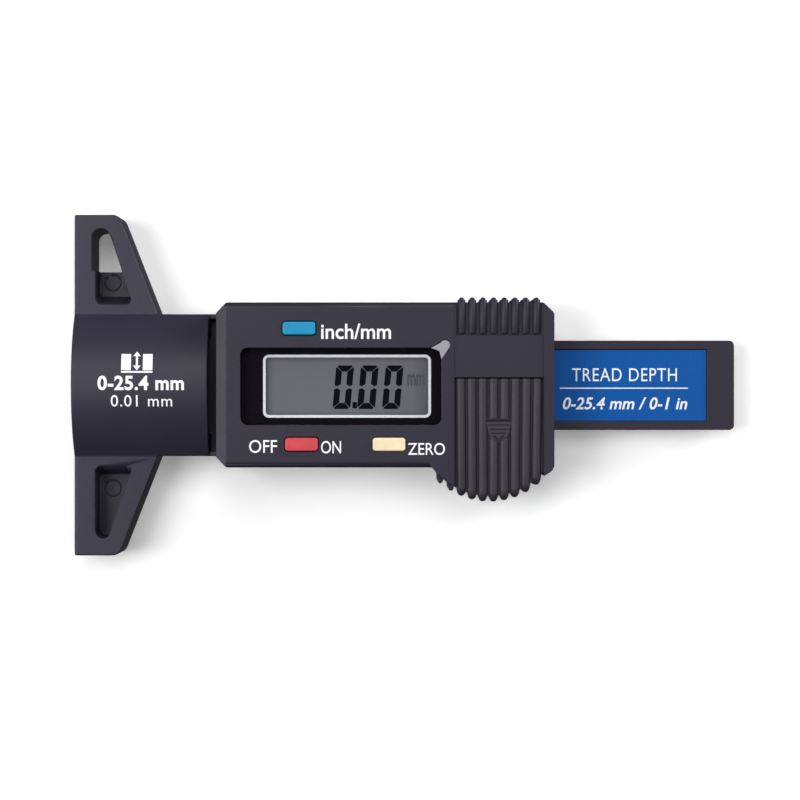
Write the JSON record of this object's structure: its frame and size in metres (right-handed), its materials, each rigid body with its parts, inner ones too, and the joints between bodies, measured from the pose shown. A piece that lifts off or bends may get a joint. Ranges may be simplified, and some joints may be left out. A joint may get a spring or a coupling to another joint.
{
  "type": "digital tire tread gauge",
  "caption": "Digital tyre tread depth gauge: a T-shaped foot on a housing with display, buttons and coin cell, and a sliding beam that drives a depth probe.",
  "frame": {"origin": "middle of the underside at rest, with the gauge lying on its back and the probe flush with the foot", "axes": "+X along the beam towards its thumb end, +Y across the foot towards its pierced wing, +Z out of the display"},
  "size_m": [0.107, 0.055, 0.0165],
  "materials": {
    "foot_plastic": "satin, fine moulded texture",
    "shell_plastic": "satin, fine moulded texture",
    "beam_plastic": "satin",
    "lens_plastic": "clear gloss, black printed border",
    "display_glass": "grey liquid crystal",
    "white_plastic": "plain",
    "connector_rubber": "plain",
    "board": "solder mask",
    "chip_resin": "epoxy",
    "nickel": "plated",
    "cell_steel": "brushed",
    "blue_plastic": "semi-gloss",
    "red_plastic": "semi-gloss",
    "cream_plastic": "semi-gloss",
    "scale_laminate": "laminate",
    "label_film": "printed film",
    "steel": "ground",
    "bronze": "sheet",
    "black_screws": "black zinc"
  },
  "bodies": {
    "housing": {"base_foot": "foot_plastic", "rear_cover": "shell_plastic", "front_cover": "shell_plastic", "display_lens": "lens_plastic", "lcd_panel": "display_glass", "lcd_holder": "white_plastic", "zebra_strip": "connector_rubber", "circuit_board": "board", "controller_chip": "chip_resin", "quartz_crystal": "nickel", "switch_domes": "nickel", "battery_cell": "cell_steel", "positive_contact": "nickel", "negative_contact": "nickel", "gib_spring": "bronze", "housing_screws": "black_screws", "foot_screws": "black_screws"},
    "slider": {"beam": "beam_plastic", "scale_strip": "scale_laminate", "beam_label": "label_film", "probe_pin": "steel"},
    "cell_cover": {"battery_cover": "shell_plastic"},
    "unit_key": {"unit_button": "blue_plastic"},
    "power_key": {"power_button": "red_plastic"},
    "zero_key": {"zero_button": "cream_plastic"}
  },
  "joints": [
    {"name": "beam_slide", "type": "slide", "parent": "housing", "child": "slider", "axis": [-1, 0, 0], "range_m": [0, 0.0254]},
    {"name": "cell_cover_slide", "type": "slide", "parent": "housing", "child": "cell_cover", "axis": [0, -1, 0], "range_m": [0, 0.0185]},
    {"name": "unit_press", "type": "slide", "parent": "housing", "child": "unit_key", "axis": [0, 0, -1], "range_m": [0, 0.0005], "stiffness_N_per_m": 2000, "springref_m": -0.0002},
    {"name": "power_press", "type": "slide", "parent": "housing", "child": "power_key", "axis": [0, 0, -1], "range_m": [0, 0.0005], "stiffness_N_per_m": 2000, "springref_m": -0.0002},
    {"name": "zero_press", "type": "slide", "parent": "housing", "child": "zero_key", "axis": [0, 0, -1], "range_m": [0, 0.0005], "stiffness_N_per_m": 2000, "springref_m": -0.0002}
  ]
}
